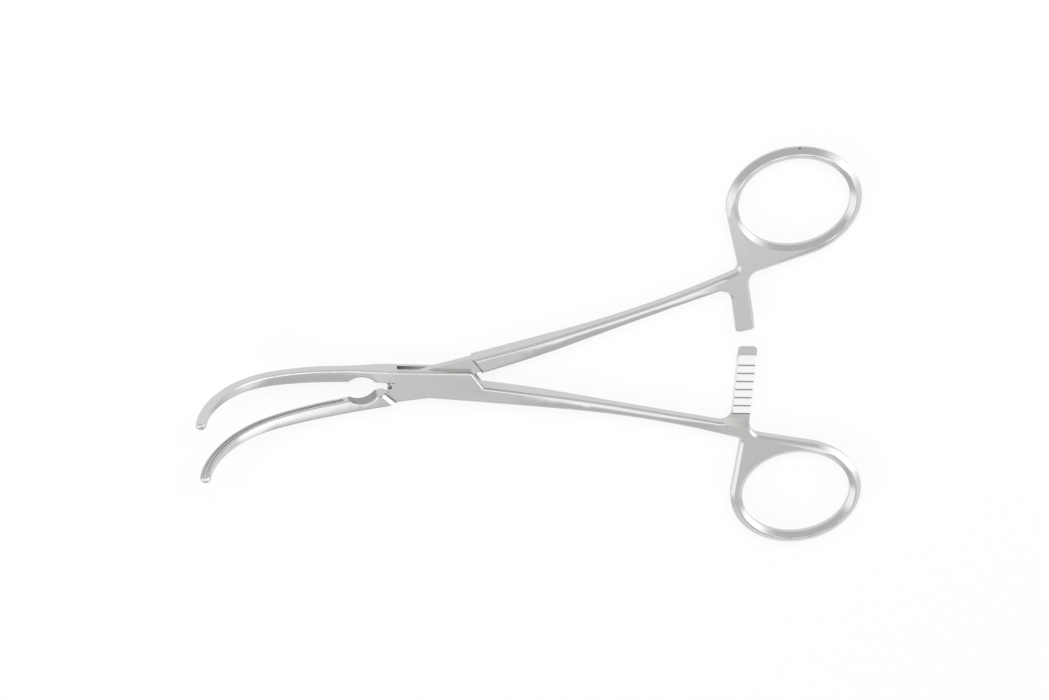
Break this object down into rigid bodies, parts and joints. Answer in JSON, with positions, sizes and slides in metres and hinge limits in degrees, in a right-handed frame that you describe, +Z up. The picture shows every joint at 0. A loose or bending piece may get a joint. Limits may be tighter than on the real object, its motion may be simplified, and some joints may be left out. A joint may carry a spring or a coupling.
{
  "type": "vascular clamp",
  "caption": "Curved vascular clamp with finger rings, a ratchet, a box lock and toothed jaws that curve up out of the plane of the rings.",
  "frame": {"origin": "where the hinge axis meets the underside of the lock, which is also the surface the clamp lies on", "axes": "+Z up along the hinge axis, the way the jaws curve; +X along the closing line from the rings to the jaws; +Y towards the ring of the box half"},
  "size_m": [0.1624, 0.1058, 0.0308],
  "materials": {
    "box_half": "satin",
    "tongue_half": "satin",
    "hinge_pin": "satin"
  },
  "bodies": {
    "box_body": {"box_half": "box_half", "hinge_pin": "hinge_pin"},
    "tongue_body": {"tongue_half": "tongue_half"}
  },
  "joints": [
    {"name": "lock_pivot", "type": "hinge", "parent": "box_body", "child": "tongue_body", "pos_m": [0, 0, 0.0026], "axis": [0, 0, 1], "range_deg": [-12.7, 30]}
  ]
}
